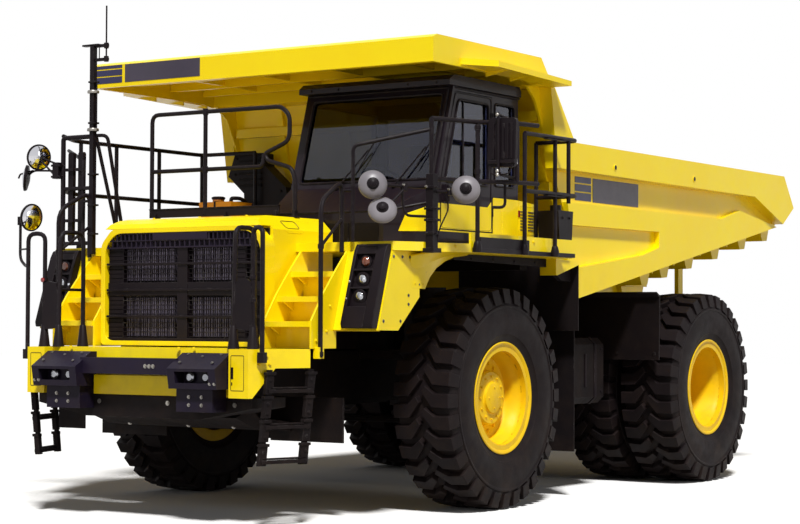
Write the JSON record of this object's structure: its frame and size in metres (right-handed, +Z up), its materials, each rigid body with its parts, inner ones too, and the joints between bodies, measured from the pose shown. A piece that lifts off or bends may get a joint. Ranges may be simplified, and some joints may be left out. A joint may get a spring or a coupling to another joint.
{
  "type": "mining dump truck",
  "caption": "Rigid mining dump truck with a tipping body and cab canopy, front steering, twin rear wheels, hoist cylinders and side cab.",
  "frame": {"origin": "on the ground under the middle of the bounding box", "axes": "+Z up, the nose towards -Y, the driver's left towards +X"},
  "size_m": [5.133, 10.25, 4.85],
  "materials": {
    "yellow_paint": "semi-gloss",
    "black_paint": "satin",
    "dark_steel": "satin",
    "polished_rod": "polished",
    "tyre_rubber": "matt",
    "strap_rubber": "matt",
    "cab_glass": "clear",
    "seat_fabric": "matt",
    "dash_plastic": "matt",
    "lamp_housing": "satin"
  },
  "bodies": {
    "chassis": {"frame": "black_paint", "front_platform": "yellow_paint", "lamp_guards": "black_paint", "under_guard": "black_paint", "ladder_left": "strap_rubber", "ladder_right": "strap_rubber", "stairs_left": "yellow_paint", "stairs_right": "yellow_paint", "engine": "dark_steel", "grille": "yellow_paint", "hood": "yellow_paint", "deck": "black_paint", "fender_left": "yellow_paint", "fender_right": "yellow_paint", "lamp_cluster_left": "lamp_housing", "lamp_cluster_right": "lamp_housing", "cab_shell": "black_paint", "cab_roof": "black_paint", "cab_rear_box": "yellow_paint", "windshield": "cab_glass", "right_glass": "cab_glass", "quarter_glass": "cab_glass", "rear_glass": "cab_glass", "operator_seat": "seat_fabric", "dashboard": "dash_plastic", "handrail_left": "black_paint", "handrail_right": "black_paint", "handrail_front": "black_paint", "step_rail_left": "black_paint", "step_rail_right": "black_paint", "exhaust": "black_paint", "coolant_tank": "black_paint", "walkway_tank": "black_paint", "tank_left": "black_paint", "tank_right": "black_paint", "rear_axle": "black_paint"},
    "knuckle_left": {"knuckle_left": "black_paint"},
    "front_wheel_left": {"front_rim_left": "yellow_paint", "front_tyre_left": "tyre_rubber"},
    "rear_wheels_left": {"rear_rim_left": "yellow_paint", "inner_tyre_left": "tyre_rubber", "outer_tyre_left": "tyre_rubber"},
    "hoist_barrel_left": {"hoist_barrel_left": "black_paint"},
    "hoist_stage_left": {"hoist_stage_left": "polished_rod"},
    "hoist_rod_left": {"hoist_rod_left": "polished_rod"},
    "knuckle_right": {"knuckle_right": "black_paint"},
    "front_wheel_right": {"front_rim_right": "yellow_paint", "front_tyre_right": "tyre_rubber"},
    "rear_wheels_right": {"rear_rim_right": "yellow_paint", "inner_tyre_right": "tyre_rubber", "outer_tyre_right": "tyre_rubber"},
    "hoist_barrel_right": {"hoist_barrel_right": "black_paint"},
    "hoist_stage_right": {"hoist_stage_right": "polished_rod"},
    "hoist_rod_right": {"hoist_rod_right": "polished_rod"},
    "tie_rod": {"tie_rod": "black_paint"},
    "cab_door": {"cab_door": "black_paint", "door_glass": "cab_glass"},
    "dump_body": {"dump_body": "yellow_paint", "canopy": "yellow_paint", "body_beams": "yellow_paint"}
  },
  "joints": [
    {"name": "steer_left", "type": "hinge", "parent": "chassis", "child": "knuckle_left", "pos_m": [1.0515, -1.935, 1.06], "axis": [0, 0, 1], "range_deg": [-38, 38]},
    {"name": "steer_right", "type": "hinge", "parent": "chassis", "child": "knuckle_right", "pos_m": [-1.3585, -1.935, 1.06], "axis": [0, 0, 1], "range_deg": [-38, 38]},
    {"name": "tie_rod_pivot", "type": "hinge", "parent": "knuckle_left", "child": "tie_rod", "pos_m": [1.0365, -1.495, 0.8], "axis": [0, 0, 1], "range_deg": [-38, 38]},
    {"name": "front_wheel_left_spin", "type": "hinge", "parent": "knuckle_left", "child": "front_wheel_left", "pos_m": [1.6035, -1.935, 1.06], "axis": [1, 0, 0], "continuous": true},
    {"name": "front_wheel_right_spin", "type": "hinge", "parent": "knuckle_right", "child": "front_wheel_right", "pos_m": [-1.9105, -1.935, 1.06], "axis": [1, 0, 0], "continuous": true},
    {"name": "rear_wheels_left_spin", "type": "hinge", "parent": "chassis", "child": "rear_wheels_left", "pos_m": [1.3865, 2.365, 1.06], "axis": [1, 0, 0], "continuous": true},
    {"name": "rear_wheels_right_spin", "type": "hinge", "parent": "chassis", "child": "rear_wheels_right", "pos_m": [-1.6935, 2.365, 1.06], "axis": [1, 0, 0], "continuous": true},
    {"name": "body_tip", "type": "hinge", "parent": "chassis", "child": "dump_body", "pos_m": [-0.1535, 3.665, 1.875], "axis": [-1, 0, 0], "range_deg": [0, 48]},
    {"name": "cab_door_hinge", "type": "hinge", "parent": "chassis", "child": "cab_door", "pos_m": [1.7065, -1.885, 3.3], "axis": [0, 0, 1], "range_deg": [0, 50]},
    {"name": "hoist_swing_left", "type": "hinge", "parent": "chassis", "child": "hoist_barrel_left", "pos_m": [0.5165, 1.165, 0.7], "axis": [-1, 0, 0], "range_deg": [-2, 17.21]},
    {"name": "hoist_first_stage_left", "type": "slide", "parent": "hoist_barrel_left", "child": "hoist_stage_left", "axis": [0, 0.0693, 0.9976], "range_m": [0, 0.9404]},
    {"name": "hoist_second_stage_left", "type": "slide", "parent": "hoist_stage_left", "child": "hoist_rod_left", "axis": [0, 0.0693, 0.9976], "range_m": [0, 0.9404]},
    {"name": "hoist_swing_right", "type": "hinge", "parent": "chassis", "child": "hoist_barrel_right", "pos_m": [-0.8235, 1.165, 0.7], "axis": [-1, 0, 0], "range_deg": [-2, 17.21]},
    {"name": "hoist_first_stage_right", "type": "slide", "parent": "hoist_barrel_right", "child": "hoist_stage_right", "axis": [0, 0.0693, 0.9976], "range_m": [0, 0.9404]},
    {"name": "hoist_second_stage_right", "type": "slide", "parent": "hoist_stage_right", "child": "hoist_rod_right", "axis": [0, 0.0693, 0.9976], "range_m": [0, 0.9404]}
  ],
  "couplings": [
    {"joint": "steer_right", "follows": "steer_left", "ratio": 1},
    {"joint": "tie_rod_pivot", "follows": "steer_left", "ratio": -1},
    {"joint": "hoist_swing_left", "follows": "body_tip", "ratio": 0.3169},
    {"joint": "hoist_first_stage_left", "follows": "body_tip", "m_per_rad": 1.1201},
    {"joint": "hoist_second_stage_left", "follows": "body_tip", "m_per_rad": 1.1201},
    {"joint": "hoist_swing_right", "follows": "body_tip", "ratio": 0.3169},
    {"joint": "hoist_first_stage_right", "follows": "body_tip", "m_per_rad": 1.1201},
    {"joint": "hoist_second_stage_right", "follows": "body_tip", "m_per_rad": 1.1201}
  ]
}
